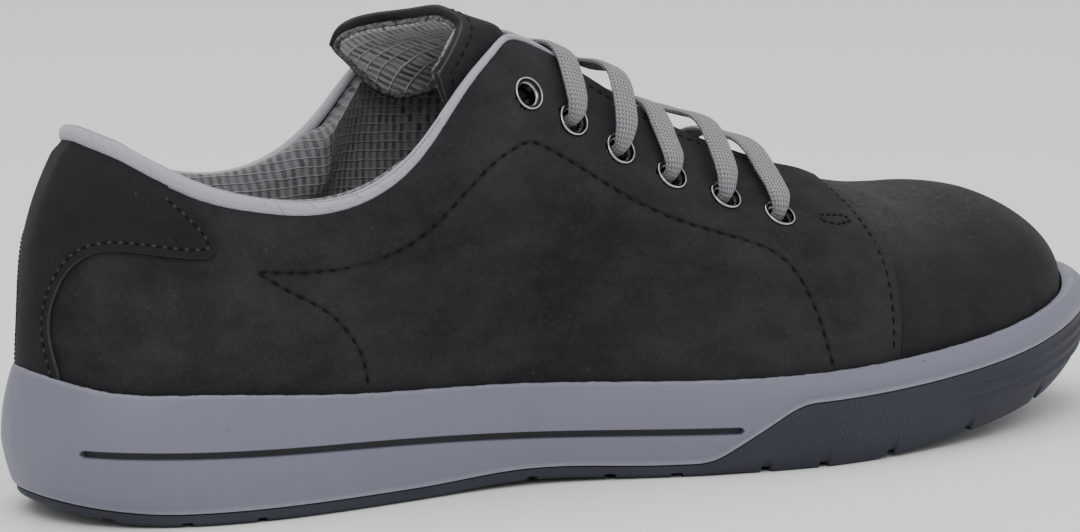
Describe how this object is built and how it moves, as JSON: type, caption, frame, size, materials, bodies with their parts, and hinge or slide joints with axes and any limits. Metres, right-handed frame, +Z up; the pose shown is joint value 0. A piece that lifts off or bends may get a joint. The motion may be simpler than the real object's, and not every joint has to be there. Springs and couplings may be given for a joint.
{
  "type": "safety sneaker",
  "caption": "Low lace-up safety sneaker with a padded collar and tongue, reinforced toe, raised heel counter and a two-tone cup sole.",
  "frame": {"origin": "bottom centre of the bounding box, on the floor under the middle of the sole", "axes": "+X from heel to toe, +Z up; the outer side of the foot is at -Y and the inner side at +Y"},
  "size_m": [0.3084, 0.106, 0.1177],
  "materials": {
    "navy_rubber": "matt moulded rubber",
    "grey_midsole": "satin moulded foam rubber",
    "black_nubuck": "matt nubuck",
    "grey_lining": "woven mesh with a slight sheen",
    "light_grey_piping": "smooth bound edge",
    "grey_lace": "flat braid",
    "bright_metal": "polished metal"
  },
  "bodies": {
    "root": {"outsole": "navy_rubber", "midsole": "grey_midsole", "insole": "grey_lining", "upper": "black_nubuck", "heel_counter": "black_nubuck", "collar_piping": "light_grey_piping", "tongue": "black_nubuck", "eyelet_outer_1": "bright_metal", "eyelet_outer_2": "bright_metal", "eyelet_outer_3": "bright_metal", "eyelet_outer_4": "bright_metal", "eyelet_outer_5": "bright_metal", "eyelet_outer_6": "bright_metal", "eyelet_inner_1": "bright_metal", "eyelet_inner_2": "bright_metal", "eyelet_inner_3": "bright_metal", "eyelet_inner_4": "bright_metal", "eyelet_inner_5": "bright_metal", "eyelet_inner_6": "bright_metal", "lace_bar_1": "grey_lace", "lace_bar_2": "grey_lace", "lace_bar_3": "grey_lace", "lace_bar_4": "grey_lace", "lace_bar_5": "grey_lace"}
  },
  "joints": []
}
